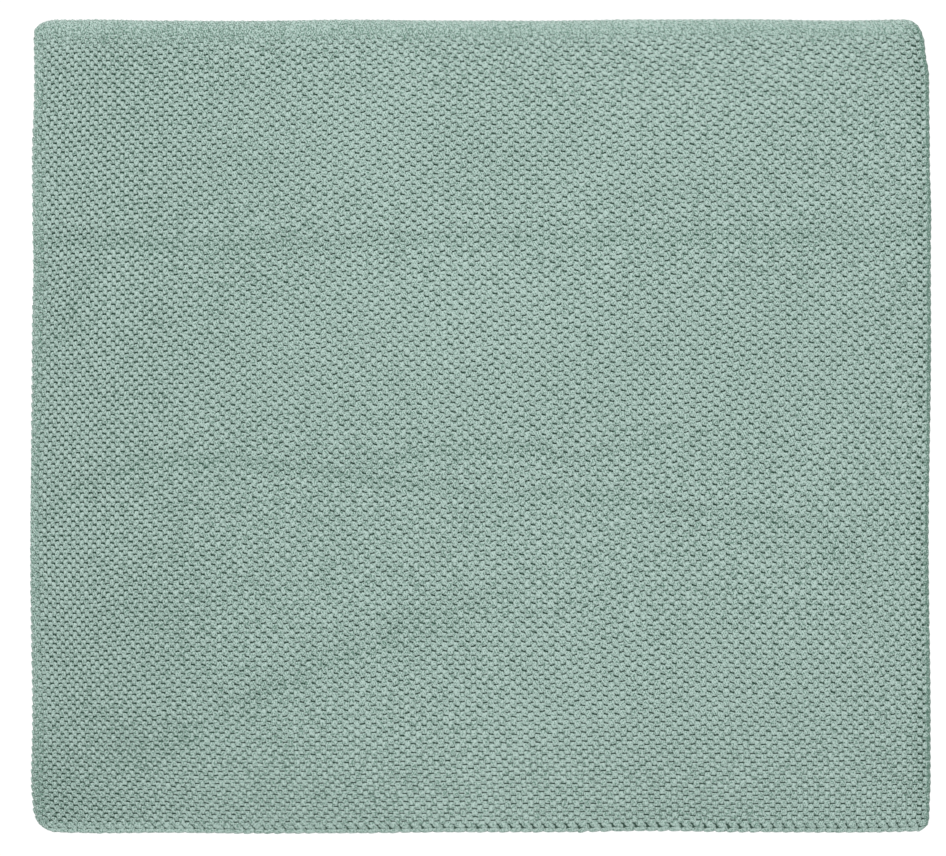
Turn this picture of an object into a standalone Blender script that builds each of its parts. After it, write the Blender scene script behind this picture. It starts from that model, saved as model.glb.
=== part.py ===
# Knitted cot blanket, folded in half across its width and then in thirds along its length,
# lying flat with its cast-off edge towards -Y and the last fold towards +Y.
# One sheet, bent twice: the half fold runs along the -X side and both selvedges lie on the +X side.
# Metres, +Z up, origin under the middle of the folded blanket.

import math

import bmesh
import bpy

MM = 0.001

# Driving dimensions
PACK_WIDTH = 375.0 * MM  # half fold to selvedge
PACK_DEPTH = 339.4 * MM  # cast-off edge to the last fold
SHEET_THICK = 2.6 * MM  # one layer of the knit
LAYER_GAP = 0.7 * MM  # between the two layers of the half fold
FOLD_GAP = 1.6 * MM  # between one double layer and the next
UNDER_EDGE_IN = 2.0 * MM  # the under layer's selvedge stops short of the upper one's

# Worked out from them
LAYER_OFFSET = (SHEET_THICK + LAYER_GAP) / 2  # from the middle of a double layer to each layer
DOUBLE_THICK = 2 * SHEET_THICK + LAYER_GAP
TURN_RADIUS = (DOUBLE_THICK + FOLD_GAP) / 2
TURN_REACH = TURN_RADIUS + DOUBLE_THICK / 2
TOP_LAYER_HEIGHT = 2 * (DOUBLE_THICK + FOLD_GAP) + DOUBLE_THICK - SHEET_THICK / 2
LEFT = -PACK_WIDTH / 2
RIGHT = PACK_WIDTH / 2
NEAR = -PACK_DEPTH / 2
FAR = PACK_DEPTH / 2

# The three double layers, from the bottom up, in the order in which the blanket's length runs.
# start and end are its free ends, or the centres of its turns, along Y; left_in and right_in are how
# far its sides stay inside the top one's; segments are the faces along it.
NEAR_TURN_Y = NEAR + 8.2 * MM
FAR_TURN_Y = FAR - TURN_REACH
CAST_ON_Y = FAR - 8.5 * MM
DOUBLE_LAYERS = (
    {"start": CAST_ON_Y, "end": NEAR_TURN_Y, "left_in": 1.6 * MM, "right_in": 2.4 * MM, "segments": 15},
    {"start": NEAR_TURN_Y, "end": FAR_TURN_Y, "left_in": 1.0 * MM, "right_in": 1.6 * MM, "segments": 15},
    {"start": FAR_TURN_Y, "end": NEAR, "left_in": 0.0, "right_in": 0.0, "segments": 27},
)
TURN_SEGMENTS = 7
HALF_FOLD_SEGMENTS = 6
LAYER_SEGMENTS = 12

# How far the sides stand out past, or in from, a straight edge, from the near end to the far one
SIDE_OUTLINE = (
    {"y": NEAR, "left": -13.0 * MM, "right": -4.0 * MM},
    {"y": NEAR + 1.0 * MM, "left": -8.0 * MM, "right": -2.0 * MM},
    {"y": NEAR + 3.0 * MM, "left": -2.4 * MM, "right": -0.7 * MM},
    {"y": NEAR + 9.5 * MM, "left": 0.0, "right": 0.0},
    {"y": NEAR + 21.0 * MM, "left": 0.8 * MM, "right": 0.3 * MM},
    {"y": NEAR + 46.0 * MM, "left": 0.1 * MM, "right": 0.5 * MM},
    {"y": NEAR + 120.0 * MM, "left": 1.3 * MM, "right": -0.3 * MM},
    {"y": NEAR + 205.0 * MM, "left": 0.3 * MM, "right": 0.4 * MM},
    {"y": FAR - 101.0 * MM, "left": -0.9 * MM, "right": 0.3 * MM},
    {"y": FAR - 84.0 * MM, "left": -0.4 * MM, "right": 0.7 * MM},
    {"y": FAR - 59.0 * MM, "left": 0.4 * MM, "right": 0.3 * MM},
    {"y": FAR - 25.0 * MM, "left": -0.4 * MM, "right": 0.0},
    {"y": FAR - 12.0 * MM, "left": -0.6 * MM, "right": -1.9 * MM},
    {"y": FAR - 5.0 * MM, "left": -1.9 * MM, "right": -3.4 * MM},
    {"y": FAR - 2.0 * MM, "left": -4.9 * MM, "right": -5.0 * MM},
    {"y": FAR, "left": -12.6 * MM, "right": -7.5 * MM},
)

# The same for the two ends, from the left side to the right one
END_OUTLINE = (
    {"x": LEFT, "near": -0.2 * MM, "far": -0.4 * MM},
    {"x": -163.0 * MM, "near": 0.2 * MM, "far": 0.2 * MM},
    {"x": -63.0 * MM, "near": 1.2 * MM, "far": 0.0},
    {"x": -38.0 * MM, "near": 0.3 * MM, "far": 0.2 * MM},
    {"x": 46.0 * MM, "near": -0.3 * MM, "far": 0.4 * MM},
    {"x": 71.0 * MM, "near": -0.7 * MM, "far": 0.3 * MM},
    {"x": 129.0 * MM, "near": 0.5 * MM, "far": 0.1 * MM},
    {"x": RIGHT, "near": -0.4 * MM, "far": -0.1 * MM},
)

# Soft creases pressed into the top, as straight stretches from (x1, y1) to (x2, y2)
CREASES = (
    {"x1": -188 * MM, "y1": 76 * MM, "x2": -60 * MM, "y2": 75 * MM, "depth": 0.9 * MM, "width": 9 * MM},
    {"x1": -60 * MM, "y1": 75 * MM, "x2": 188 * MM, "y2": 80 * MM, "depth": 0.6 * MM, "width": 9 * MM},
    {"x1": -184 * MM, "y1": -46 * MM, "x2": -144 * MM, "y2": -16 * MM, "depth": 0.6 * MM, "width": 11 * MM},
    {"x1": -144 * MM, "y1": -16 * MM, "x2": -42 * MM, "y2": -21 * MM, "depth": 0.6 * MM, "width": 11 * MM},
    {"x1": -42 * MM, "y1": -21 * MM, "x2": 58 * MM, "y2": -31 * MM, "depth": 0.7 * MM, "width": 11 * MM},
    {"x1": 58 * MM, "y1": -31 * MM, "x2": 160 * MM, "y2": -72 * MM, "depth": 0.5 * MM, "width": 14 * MM},
    {"x1": 20 * MM, "y1": -78 * MM, "x2": -108 * MM, "y2": -128 * MM, "depth": 0.6 * MM, "width": 18 * MM},
)

# Broad rises and dips of the top between the creases
SWELLS = (
    {"x": -80 * MM, "y": 118 * MM, "across": 95 * MM, "along": 30 * MM, "height": 0.5 * MM},
    {"x": 90 * MM, "y": 112 * MM, "across": 80 * MM, "along": 28 * MM, "height": 0.3 * MM},
    {"x": -40 * MM, "y": 28 * MM, "across": 110 * MM, "along": 35 * MM, "height": 0.5 * MM},
    {"x": 120 * MM, "y": 20 * MM, "across": 60 * MM, "along": 45 * MM, "height": 0.4 * MM},
    {"x": 80 * MM, "y": -110 * MM, "across": 80 * MM, "along": 35 * MM, "height": 0.5 * MM},
    {"x": -90 * MM, "y": -158 * MM, "across": 45 * MM, "along": 14 * MM, "height": 0.6 * MM},
    {"x": -160 * MM, "y": -125 * MM, "across": 26 * MM, "along": 40 * MM, "height": -0.7 * MM},
    {"x": 100 * MM, "y": -164 * MM, "across": 45 * MM, "along": 10 * MM, "height": -0.6 * MM},
)


def smooth_step(share):
    share = min(max(share, 0.0), 1.0)
    return share * share * (3 - 2 * share)


def read_table(rows, key, at, column):
    """The column's value at this place, eased from each row to the next."""
    for low, high in zip(rows, rows[1:]):
        if at <= high[key]:
            share = smooth_step((at - low[key]) / (high[key] - low[key]))
            return low[column] + (high[column] - low[column]) * share
    return rows[-1][column]


def run_of(start, end, segments):
    """Evenly spaced places from start up to, but not at, the end."""
    return [start + (end - start) * step / segments for step in range(segments)]


def width_stations():
    """(x, offset from the middle of the double layer) from the under selvedge round to the upper one."""
    turn_centre = LEFT + DOUBLE_THICK / 2
    under = [(x, -LAYER_OFFSET) for x in run_of(RIGHT - UNDER_EDGE_IN, turn_centre, LAYER_SEGMENTS)]
    turn = [
        (turn_centre - LAYER_OFFSET * math.sin(angle), -LAYER_OFFSET * math.cos(angle))
        for angle in run_of(0, math.pi, HALF_FOLD_SEGMENTS)
    ]
    upper = [(x, LAYER_OFFSET) for x in run_of(turn_centre, RIGHT, LAYER_SEGMENTS)]
    return under + turn + upper + [(RIGHT, LAYER_OFFSET)]


def layer_shares(segments, crowded):
    """Places from 0 to 1 along a double layer, closer together near a free end that shows."""
    shares = run_of(0, 1, segments) + [1.0]
    return [math.sin(share * math.pi / 2) if crowded else share for share in shares]


def length_stations():
    """Places along the double layer's middle, from the bottom free end to the top one: where each is,
    which way it faces, and how far its sides stay in."""
    stations = []
    for level, layer in enumerate(DOUBLE_LAYERS):
        height = DOUBLE_THICK / 2 + level * 2 * TURN_RADIUS
        forward = math.copysign(1, layer["end"] - layer["start"])
        is_top = layer is DOUBLE_LAYERS[-1]
        sides = (layer["left_in"], layer["right_in"])
        for share in layer_shares(layer["segments"], is_top):
            y = layer["start"] + (layer["end"] - layer["start"]) * share
            stations.append({"y": y, "z": height, "face": (0, -forward), "sides": sides})
        if is_top:
            continue
        above = DOUBLE_LAYERS[level + 1]
        for angle in run_of(0, math.pi, TURN_SEGMENTS)[1:]:
            share = angle / math.pi
            stations.append(
                {
                    "y": layer["end"] + forward * TURN_RADIUS * math.sin(angle),
                    "z": height + TURN_RADIUS * (1 - math.cos(angle)),
                    "face": (math.sin(angle), -forward * math.cos(angle)),
                    "sides": (
                        sides[0] + (above["left_in"] - sides[0]) * share,
                        sides[1] + (above["right_in"] - sides[1]) * share,
                    ),
                }
            )
    return stations


def crease_dip(crease, x, y):
    run_x = crease["x2"] - crease["x1"]
    run_y = crease["y2"] - crease["y1"]
    along = ((x - crease["x1"]) * run_x + (y - crease["y1"]) * run_y) / (run_x**2 + run_y**2)
    along = min(max(along, 0.0), 1.0)
    apart = math.hypot(x - crease["x1"] - along * run_x, y - crease["y1"] - along * run_y)
    return crease["depth"] * math.exp(-((apart / crease["width"]) ** 2))


def top_relief(x, y):
    """How far the top stands above its plain height here. Where creases meet, the deepest counts."""
    rise = sum(
        swell["height"]
        * math.exp(-(((x - swell["x"]) / swell["across"]) ** 2) - ((y - swell["y"]) / swell["along"]) ** 2)
        for swell in SWELLS
    )
    return rise - max(crease_dip(crease, x, y) for crease in CREASES)


def settle(x, y, z, sides):
    """The uneven outline and the soft top, which fades to nothing at the bottom layer."""
    to_right = smooth_step((x - LEFT) / PACK_WIDTH)
    to_far = smooth_step((y - NEAR) / PACK_DEPTH)
    left_out = read_table(SIDE_OUTLINE, "y", y, "left") - sides[0]
    right_out = read_table(SIDE_OUTLINE, "y", y, "right") - sides[1]
    near_out = read_table(END_OUTLINE, "x", x, "near")
    far_out = read_table(END_OUTLINE, "x", x, "far")
    lift = (z - SHEET_THICK / 2) / (TOP_LAYER_HEIGHT - SHEET_THICK / 2)
    return (
        x - left_out * (1 - to_right) + right_out * to_right,
        y - near_out * (1 - to_far) + far_out * to_far,
        z + lift * top_relief(x, y),
    )


def folded_sheet():
    """The middle surface of the knit: a flat grid whose points move to their places in the folds."""
    across = width_stations()
    along = length_stations()
    bm = bmesh.new()
    bmesh.ops.create_grid(bm, x_segments=len(across) - 1, y_segments=len(along) - 1, size=0.5)
    for point in bm.verts:
        x, offset = across[round((point.co.x + 0.5) * (len(across) - 1))]
        place = along[round((point.co.y + 0.5) * (len(along) - 1))]
        face_y, face_z = place["face"]
        point.co = settle(x, place["y"] + offset * face_y, place["z"] + offset * face_z, place["sides"])
    bmesh.ops.recalc_face_normals(bm, faces=bm.faces)
    mesh = bpy.data.meshes.new("blanket")
    bm.to_mesh(mesh)
    bm.free()
    return mesh


def centre_over_origin(blanket):
    """Moves the points so that the finished cloth's box is centred over the origin and stands on it."""
    bpy.context.view_layer.update()
    corners = blanket.evaluated_get(bpy.context.evaluated_depsgraph_get()).bound_box
    low = [min(corner[axis] for corner in corners) for axis in range(3)]
    high = [max(corner[axis] for corner in corners) for axis in range(3)]
    for point in blanket.data.vertices:
        point.co.x -= (low[0] + high[0]) / 2
        point.co.y -= (low[1] + high[1]) / 2
        point.co.z -= low[2]


def sage_cotton():
    material = bpy.data.materials.new("sage_cotton")
    material.use_nodes = True
    surface = material.node_tree.nodes["Principled BSDF"]
    surface.inputs["Base Color"].default_value = (0.29, 0.42, 0.37, 1)
    surface.inputs["Roughness"].default_value = 0.95
    surface.inputs["Metallic"].default_value = 0
    return material


def make_blanket(collection):
    blanket = bpy.data.objects.new("blanket", folded_sheet())
    collection.objects.link(blanket)
    blanket.data.materials.append(sage_cotton())
    thickness = blanket.modifiers.new("knit_thickness", "SOLIDIFY")
    thickness.thickness = SHEET_THICK
    thickness.offset = 0
    thickness.use_even_offset = True
    centre_over_origin(blanket)
    blanket.data.shade_smooth()
    return blanket


def main():
    for old in list(bpy.data.objects):
        bpy.data.objects.remove(old, do_unlink=True)
    collection = bpy.data.collections.new("knitted_blanket")
    bpy.context.scene.collection.children.link(collection)
    make_blanket(collection)


main()
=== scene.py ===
# Knitted cot blanket, folded in half across its width and then in thirds along its length, lying flat.
# The sheet is one thin slab bent onto the folds, and each stitch that shows is a bump of its own on it.
import math

import bmesh
import bpy
import numpy as np
from mathutils import Matrix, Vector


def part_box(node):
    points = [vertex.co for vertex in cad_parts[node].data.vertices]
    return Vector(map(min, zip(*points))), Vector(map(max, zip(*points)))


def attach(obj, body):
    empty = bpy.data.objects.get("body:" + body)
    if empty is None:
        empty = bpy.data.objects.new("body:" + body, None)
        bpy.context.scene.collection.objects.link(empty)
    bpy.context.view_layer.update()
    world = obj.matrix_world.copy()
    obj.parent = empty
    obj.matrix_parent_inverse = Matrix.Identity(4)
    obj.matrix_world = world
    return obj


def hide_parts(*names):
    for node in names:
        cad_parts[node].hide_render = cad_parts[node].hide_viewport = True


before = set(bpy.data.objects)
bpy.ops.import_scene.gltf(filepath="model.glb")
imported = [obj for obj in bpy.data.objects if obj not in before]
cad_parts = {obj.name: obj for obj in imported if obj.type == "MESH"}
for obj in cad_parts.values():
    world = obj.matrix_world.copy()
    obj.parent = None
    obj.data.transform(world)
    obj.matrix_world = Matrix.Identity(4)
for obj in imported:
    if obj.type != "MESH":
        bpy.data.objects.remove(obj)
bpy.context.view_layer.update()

mm = 0.001

# the folds are the same as the frame's
fold = {
    "width": 375.0 * mm,  # half fold to selvedge
    "depth": 339.4 * mm,  # cast-off edge to the last fold
    "thick": 2.6 * mm,  # one layer of knit
    "layerGap": 0.7 * mm,  # inside the half fold
    "foldGap": 1.6 * mm,  # between the double layers
    "underEdgeIn": 2.0 * mm,  # the under selvedge stops short of the upper one
    "nearTurnIn": 8.2 * mm,  # the hidden turn starts this far in from the cast-off edge
    "castOnIn": 8.5 * mm,  # the cast-on edge ends this far in from the last fold
    "leftIn": (1.6 * mm, 1.0 * mm, 0.0),  # how far each double layer's sides stay in, bottom to top
    "rightIn": (2.4 * mm, 1.6 * mm, 0.0),
    "corners": {  # radius across, radius along
        "nearLeft": (8 * mm, 4.5 * mm),
        "nearRight": (4.5 * mm, 4.5 * mm),
        "farLeft": (9 * mm, 5 * mm),
        "farRight": (4.5 * mm, 4 * mm),
    },
}
layerOff = (fold["thick"] + fold["layerGap"]) / 2
doubleThick = 2 * fold["thick"] + fold["layerGap"]
turnRadius = (doubleThick + fold["foldGap"]) / 2
turnLong = math.pi * turnRadius
left = -fold["width"] / 2
right = fold["width"] / 2
near = -fold["depth"] / 2
far = fold["depth"] / 2
rollX = left + doubleThick / 2
rollLong = math.pi * layerOff
underLong = right - fold["underEdgeIn"] - rollX
upperLong = right - rollX
castOnY = far - fold["castOnIn"]
nearTurnY = near + fold["nearTurnIn"]
farTurnY = far - turnRadius - doubleThick / 2
bottomRun = castOnY - nearTurnY
middleRun = farTurnY - nearTurnY
topRun = farTurnY - near
nearTurnEnd = bottomRun + turnLong
farTurnStart = nearTurnEnd + middleRun
farTurnEnd = farTurnStart + turnLong
topZ = 5 * doubleThick / 2 + 2 * fold["foldGap"] + layerOff  # the middle of the top layer

sideOutline = {  # how far the sides stand past a straight edge, from the near end to the far one
    "y": [near + d * mm for d in (0, 3, 9.5, 21, 46, 120, 205, 238.4, 255.4, 280.4, 314.4, 327.4, 339.4)],
    "left": [d * mm for d in (-3, -2, -0.2, 0.6, 0.1, 1.1, 0.2, -0.3, 0, 0.2, -0.7, -0.5, -0.4)],
    "right": [d * mm for d in (-0.6, -0.2, 0.1, 0.5, 0.5, -0.3, 0.7, 0.6, 0.8, 0.2, -0.1, -1.8, -4.4)],
}
endOutline = {  # the same for the two ends, from the left side to the right one
    "x": [d * mm for d in (-187.5, -163, -135, -97, -55, -13, 29, 71, 113, 155, 187.5)],
    "near": [d * mm for d in (0.3, 0.8, 0.6, 0.9, 0.8, 0.4, 0.4, -0.1, 0.4, 0.5, 0)],
    "far": [d * mm for d in (0.3, 0.4, 0, -0.1, 0.4, 0.1, 0, 0.5, 0.6, 0.1, 0.5)],
}
creases = (  # soft troughs, each along a path of (x, y), all mm; the last value is how much darker the yarn is painted along it, a painted shade for the crease
    {"path": ((-183, 77), (-138, 75), (-67, 75)), "deep": 0.4, "wide": 3.8, "paintedShade": 1.2},
    {"path": ((-67, 75), (-39, 77), (-8, 79), (45, 77), (89, 79), (134, 78), (188, 81)),
     "deep": 0.4, "wide": 3.6, "paintedShade": 0.95},
    {"path": ((-164, 65), (-172, 44), (-181, 28)), "deep": 0.5, "wide": 4, "paintedShade": 0.9},
    {"path": ((-183, -40), (-167, -26), (-139, -15), (-106, -15), (-72, -18), (-53, -22)),
     "deep": 0.4, "wide": 3.5, "paintedShade": 1.1},
    {"path": ((-53, -22), (-17, -26), (5, -31), (45, -28), (78, -35), (112, -37), (134, -43)),
     "deep": 0.4, "wide": 3, "paintedShade": 1.15},
    {"path": ((-53, -20), (-45, -15), (-17, -11), (17, -10), (45, -15), (67, -9), (79, -3)),
     "deep": 0.35, "wide": 3.5, "paintedShade": 1.0},
    {"path": ((134, -43), (151, -57), (168, -90)), "deep": 0.4, "wide": 5, "paintedShade": 0.5},
    {"path": ((12, -73), (-17, -82), (-67, -101), (-112, -126), (-146, -138)),
     "deep": 0.6, "wide": 8, "paintedShade": 0.8},
)
swells = (  # broad rises and dips, all mm
    {"x": -80, "y": 118, "across": 95, "along": 30, "high": 0.5},
    {"x": 90, "y": 112, "across": 80, "along": 28, "high": 0.3},
    {"x": -40, "y": 28, "across": 110, "along": 35, "high": 0.5},
    {"x": 120, "y": 20, "across": 60, "along": 45, "high": 0.4},
    {"x": 80, "y": -110, "across": 80, "along": 35, "high": 0.5},
    {"x": -90, "y": -158, "across": 45, "along": 14, "high": 0.6},
    {"x": -160, "y": -125, "across": 26, "along": 40, "high": -0.7},
    {"x": 100, "y": -164, "across": 45, "along": 10, "high": -0.6},
)
lightAndShadePatches = (  # patches where the yarn is painted lighter and darker, all mm: partly painted light and shade of the broad rises, dips and edges, partly evening out the yarn's tone between kinds of stitch
    {"x": -100, "y": 0, "across": 50, "along": 400, "toneAndShade": -0.6},
    {"x": -166, "y": 0, "across": 22, "along": 400, "toneAndShade": 0.45},
    {"x": -6, "y": 116, "across": 26, "along": 14, "toneAndShade": -0.5},
    {"x": -160, "y": 146, "across": 30, "along": 22, "toneAndShade": -0.4},
    {"x": -64, "y": -57, "across": 6, "along": 15, "toneAndShade": -0.5},
    {"x": -177, "y": -151, "across": 16, "along": 17, "toneAndShade": -1.1},
    {"x": -160, "y": -161, "across": 22, "along": 5, "toneAndShade": -0.9},
    {"x": -40, "y": -162, "across": 20, "along": 5, "toneAndShade": -0.3},
    {"x": 80, "y": -161, "across": 38, "along": 5, "toneAndShade": -0.7},
    {"x": 183, "y": -145, "across": 10, "along": 26, "toneAndShade": -0.8},
    {"x": 110, "y": 6, "across": 55, "along": 40, "toneAndShade": -0.35},
    {"x": 100, "y": -56, "across": 45, "along": 18, "toneAndShade": -0.3},
    {"x": -166, "y": -100, "across": 20, "along": 40, "toneAndShade": -0.4},
    {"x": -38, "y": 48, "across": 45, "along": 30, "toneAndShade": 0.35},
    {"x": -30, "y": -120, "across": 60, "along": 26, "toneAndShade": 0.3},
    {"x": 120, "y": 146, "across": 60, "along": 20, "toneAndShade": 0.4},
)


def ease(share):
    share = np.clip(share, 0, 1)
    return share * share * (3 - 2 * share)


def fades(reach, value):
    # 1 up to the start of the reach, 0 past its end
    return ease((reach[1] - value) / (reach[1] - reach[0]))


def hump(x, y, spot):
    # 1 in the middle of a round patch, fading out at its sides
    return np.exp(-((x - spot["x"]) / spot["across"]) ** 2 - ((y - spot["y"]) / spot["along"]) ** 2)


def easedRead(places, values, at):
    # values read between the places, without corners
    places = np.array(places)
    values = np.array(values)
    low = np.clip(np.searchsorted(places, at) - 1, 0, len(places) - 2)
    share = ease((at - places[low]) / (places[low + 1] - places[low]))
    return values[low] + (values[low + 1] - values[low]) * share


def creased(x, y, key):
    # what the creases give at places in mm: their depth or their painted shade, by the key
    reach = np.zeros_like(x)
    for c in creases:
        for (x1, y1), (x2, y2) in zip(c["path"], c["path"][1:]):
            runX = x2 - x1
            runY = y2 - y1
            along = np.clip(((x - x1) * runX + (y - y1) * runY) / (runX**2 + runY**2), 0, 1)
            apart = (x - x1 - along * runX) ** 2 + (y - y1 - along * runY) ** 2
            reach = np.maximum(reach, c[key] * np.exp(-apart / c["wide"] ** 2))
    return reach


def topRelief(x, y):
    # how far the top layer rises or dips; the layers below follow it less and less
    x = x / mm
    y = y / mm
    rise = np.zeros_like(x)
    for s in swells:
        rise += s["high"] * hump(x, y, s)
    return (rise - creased(x, y, "deep")) * mm


def paintedLightAndShade(x, y):
    # how much lighter or darker the yarn is painted, in the stitches' tone: painted shade in the creases,
    # painted light and shade in the patches
    x = x / mm
    y = y / mm
    # painted shade along the creases
    shade = -creased(x, y, "paintedShade")
    # the patches' painted light and shade
    for s in lightAndShadePatches:
        shade += s["toneAndShade"] * hump(x, y, s)
    return shade


def roundedCorners(x, y):
    # each corner's rectangle is eased onto a quarter oval
    for name, (across, along) in fold["corners"].items():
        sideways = -1 if "Left" in name else 1
        lengthways = -1 if "near" in name else 1
        middleX = sideways * (fold["width"] / 2 - across)
        middleY = lengthways * (fold["depth"] / 2 - along)
        a = np.maximum((x - middleX) * sideways / across, 0)
        b = np.maximum((y - middleY) * lengthways / along, 0)
        inside = (a > 0) & (b > 0)
        x = np.where(inside, middleX + sideways * across * a * np.sqrt(1 - np.minimum(b, 1) ** 2 / 2), x)
        y = np.where(inside, middleY + lengthways * along * b * np.sqrt(1 - np.minimum(a, 1) ** 2 / 2), y)
    return x, y


def stayIn(v, layers):
    # how far a side stays in, from one double layer to the next
    bottom, middle, top = layers
    return np.interp(v, (bottomRun, nearTurnEnd, farTurnStart, farTurnEnd), (bottom, middle, middle, top))


def foldedPlace(u, v, h):
    # u from the under selvedge round the half fold to the upper one, v from cast-on to cast-off,
    # h off the middle of the knit towards its outer face
    roll = np.clip((u - underLong) / rollLong, 0, 1) * math.pi
    out = np.where(u < underLong, underLong - u, np.maximum(u - underLong - rollLong, 0))
    x = rollX + out - (layerOff + h) * np.sin(roll)
    off = -(layerOff + h) * np.cos(roll)
    nearTurn = np.clip((v - bottomRun) / turnLong, 0, 1) * math.pi
    farTurn = np.clip((v - farTurnStart) / turnLong, 0, 1) * math.pi
    y = castOnY - np.minimum(v, bottomRun) + np.clip(v - nearTurnEnd, 0, middleRun)
    y = y - np.maximum(v - farTurnEnd, 0)
    y = y - turnRadius * np.sin(nearTurn) + turnRadius * np.sin(farTurn)
    z = doubleThick / 2 + turnRadius * (2 - np.cos(nearTurn) - np.cos(farTurn))
    y = y + off * (np.sin(nearTurn) + np.sin(farTurn))
    z = z + off * np.cos(nearTurn) * np.cos(farTurn)
    # the outlines, the relief and the corners
    toRight = ease((x - left) / fold["width"])
    toFar = ease((y - near) / fold["depth"])
    leftOut = easedRead(sideOutline["y"], sideOutline["left"], y) - stayIn(v, fold["leftIn"])
    rightOut = easedRead(sideOutline["y"], sideOutline["right"], y) - stayIn(v, fold["rightIn"])
    nearOut = easedRead(endOutline["x"], endOutline["near"], x)
    farOut = easedRead(endOutline["x"], endOutline["far"], x)
    lift = (z - fold["thick"] / 2) / (topZ - fold["thick"] / 2)
    z = z + lift * topRelief(x, y)
    x, y = roundedCorners(x, y)
    x = x - leftOut * (1 - toRight) + rightOut * toRight
    y = y - nearOut * (1 - toFar) + farOut * toFar
    return np.stack((x, y, z), axis=-1)


# The knit's lattice: columns are half stitches counted from the middle of the half fold, the under layer's
# negative; ridges are counted from the cast-on edge. Pitches are in mm and are scaled to fill the sheet.
knit = {
    "columns": 168,  # on each layer
    "ridges": 260,
    "atColumns": (0, 8, 15, 25, 37, 52, 90, 129, 146, 161, 168),
    "columnPitch": (  # by the cast-off edge, half way, by the last fold
        (1.95, 1.98, 1.98, 2.02, 2.05, 2.13, 2.32, 2.4, 2.15, 2.07, 2.08),
        (1.68, 1.72, 1.79, 2.0, 2.2, 2.3, 2.35, 2.42, 2.37, 2.22, 2.22),
        (1.58, 1.6, 1.7, 2.0, 2.13, 2.2, 2.38, 2.5, 2.4, 2.2, 2.2),
    ),
    "columnPlaces": (0, 15, 78),  # ridges from the cast-off edge
    "atRidges": (0, 7, 13, 18, 34, 44, 54, 64, 74, 82, 92),  # from the cast-off edge
    "ridgePitch": (  # by the half fold, half way across, by the selvedge
        (3.2, 3.25, 3.5, 3.68, 3.68, 3.7, 3.75, 3.8, 3.9, 3.85, 3.8),
        (3.2, 3.35, 3.75, 3.93, 4.05, 4.05, 3.95, 3.9, 3.82, 3.6, 3.5),
        (3.5, 3.6, 3.9, 4.12, 4.3, 4.2, 3.88, 3.85, 3.85, 3.5, 3.35),
    ),
    "ridgePlaces": (0, 82, 163),  # columns
    "wander": (  # slow drifts of the lattice, in columns and ridges
        {"columnWave": 83, "ridgeWave": 61, "phase": 0.4, "sideways": 0.3, "along": 0.15},
        {"columnWave": 47, "ridgeWave": 37, "phase": 2.1, "sideways": 0.2, "along": 0.15},
        {"columnWave": 23, "ridgeWave": 19, "phase": 4.4, "sideways": 0.12, "along": 0.1},
    ),
    "waveSkew": (0.7, 0.8),  # how much slower each drift's cross wave is
    "phaseSkew": 1.7,
    "fadeColumns": 10,  # from an edge of the sheet to where the drifts are full
    "fadeRidges": 8,
    # a stretch where the columns lean in, in columns and in ridges from the cast-off edge
    "leanIn": {"x": 140, "across": 50, "y": 89, "along": 8, "sideways": -2.2},
    "layerPart": 4,  # columns from the half fold to where each layer's ridges are its own
}
flatWidth = underLong + rollLong + upperLong
flatLength = bottomRun + middleRun + topRun + 2 * turnLong


def lengthAlong(side):
    # the outer layer of a turn has further to go than the inner one, so its ridges are spread evenly
    # along its own length: side is 1 for the upper layer, -1 for the under one
    wide = 1 + side * layerOff / turnRadius
    tight = 1 - side * layerOff / turnRadius
    own = np.cumsum((0, bottomRun, turnLong * tight, middleRun, turnLong * wide, topRun))
    flat = np.cumsum((0, bottomRun, turnLong, middleRun, turnLong, topRun))
    return own, flat


def runningLength(stations, pitches):
    # how far along each step lies, from a pitch that changes between the stations
    fine = np.linspace(stations[0], stations[-1], 401)  # less than a step apart
    pitch = np.interp(fine, stations, pitches) * mm
    steps = (pitch[1:] + pitch[:-1]) / 2 * (fine[1] - fine[0])
    return fine, np.concatenate(([0], np.cumsum(steps)))


def blended(places, at, values, eased=True):
    # values, one for each of the places, run into each other
    out = values[0]
    for n in range(1, len(places)):
        share = np.clip((at - places[n - 1]) / (places[n] - places[n - 1]), 0, 1)
        out = out + (values[n] - values[n - 1]) * (ease(share) if eased else share)
    return out


def acrossSheet(steps, fromEnd):
    # from the middle of the half fold, on the upper layer
    reach = []
    for pitches in knit["columnPitch"]:
        fine, length = runningLength(knit["atColumns"], pitches)
        reach.append(np.interp(steps, fine, length * (upperLong + rollLong / 2) / length[-1]))
    return blended(knit["columnPlaces"], fromEnd, reach)


def upSheet(steps, fromEnd):
    # from the cast-off edge
    reach = []
    for pitches in knit["ridgePitch"]:
        fine, length = runningLength(knit["atRidges"], pitches)
        reach.append(np.interp(fromEnd, np.append(fine, knit["ridges"]), np.append(length, flatLength)))
    return blended(knit["ridgePlaces"], steps, reach, eased=False)


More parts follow.
